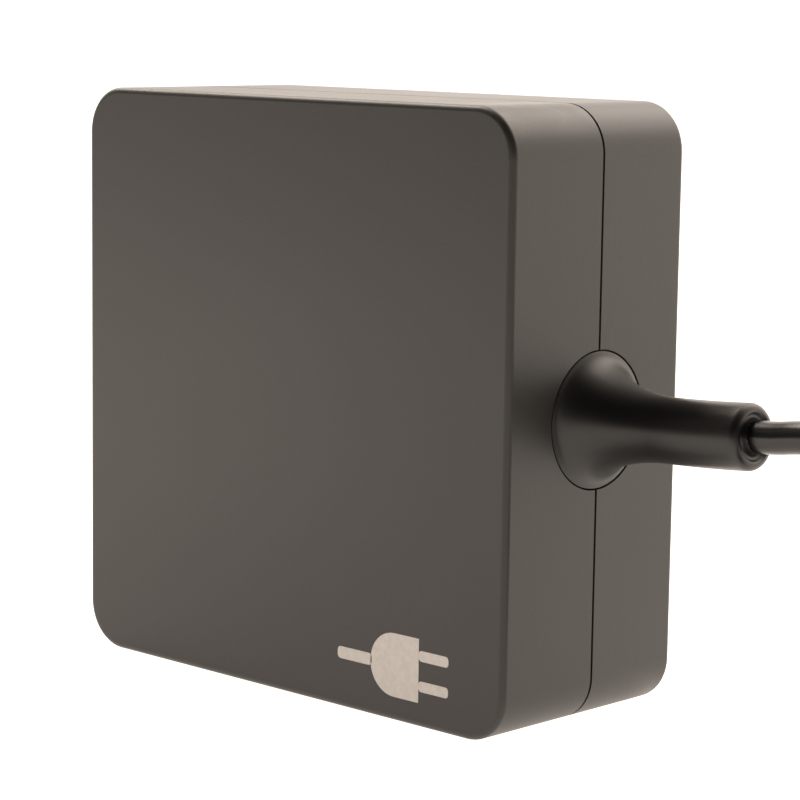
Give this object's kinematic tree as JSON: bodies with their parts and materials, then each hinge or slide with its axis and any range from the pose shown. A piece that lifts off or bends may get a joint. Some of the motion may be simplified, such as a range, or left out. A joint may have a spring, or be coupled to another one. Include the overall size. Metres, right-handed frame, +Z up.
{
  "type": "laptop power adapter",
  "caption": "Square laptop power adapter with a split casing, a cloverleaf mains inlet and a captive low-voltage lead ending in a barrel plug.",
  "frame": {"origin": "middle of the narrow edge that the body stands on", "axes": "+X towards the low-voltage lead, -Y out of the front face, +Z up"},
  "size_m": [0.2275, 0.031, 0.074],
  "materials": {
    "front_shell": "fine moulded grain, matte",
    "rear_shell": "fine moulded grain, matte",
    "label_film": "blank matte film",
    "cord_rubber": "satin moulded elastomer",
    "crimp_metal": "crimped steel",
    "cord_jacket": "satin cable jacket",
    "tie_strap": "woven hook-and-loop strap",
    "plug_overmould": "satin overmould",
    "nickel": "nickel plated",
    "black_plastic": "glossy black plastic",
    "contact_brass": "turned brass",
    "inlet_plastic": "matte black plastic",
    "wire_insulation": "insulated wire",
    "board_laminate": "solder mask on laminate",
    "component_resin": "moulded resin",
    "disc_coating": "dipped coating",
    "component_dark": "dark moulded resin",
    "film_box": "moulded box",
    "copper_wire": "enamelled copper winding",
    "capacitor_sleeve": "shrink sleeve",
    "heatsink_metal": "rolled aluminium",
    "ferrite": "sintered ferrite",
    "winding_tape": "polyester tape",
    "pale_resin": "pale moulded resin",
    "pale_film": "insulating film",
    "shield_metal": "thin sheet"
  },
  "bodies": {
    "root": {"front_shell": "front_shell", "rear_shell": "rear_shell", "rating_label": "label_film", "strain_relief": "cord_rubber", "cable_clamp": "crimp_metal", "dc_cable": "cord_jacket", "inner_cable": "cord_jacket", "cable_coil": "cord_jacket", "plug_cable": "cord_jacket", "cable_tie": "tie_strap", "plug_grip": "plug_overmould", "plug_barrel": "nickel", "plug_insulator": "black_plastic", "plug_contact": "contact_brass", "inlet_housing": "inlet_plastic", "live_pin": "nickel", "neutral_pin": "nickel", "earth_pin": "nickel", "inlet_leads": "wire_insulation", "circuit_board": "board_laminate", "fuse": "component_resin", "varistor": "disc_coating", "inrush_thermistor": "component_dark", "x_capacitor": "film_box", "line_choke": "copper_wire", "bridge_rectifier": "component_dark", "bulk_capacitor": "capacitor_sleeve", "switching_transistor": "component_dark", "primary_heatsink": "heatsink_metal", "transformer_core": "ferrite", "transformer_winding": "winding_tape", "y_capacitor": "disc_coating", "optocoupler": "pale_resin", "controller_chip": "component_dark", "output_rectifier": "component_dark", "secondary_heatsink": "heatsink_metal", "output_capacitors": "capacitor_sleeve", "output_choke": "copper_wire", "output_leads": "wire_insulation", "insulating_sheet": "pale_film", "shield_plate": "shield_metal"}
  },
  "joints": []
}
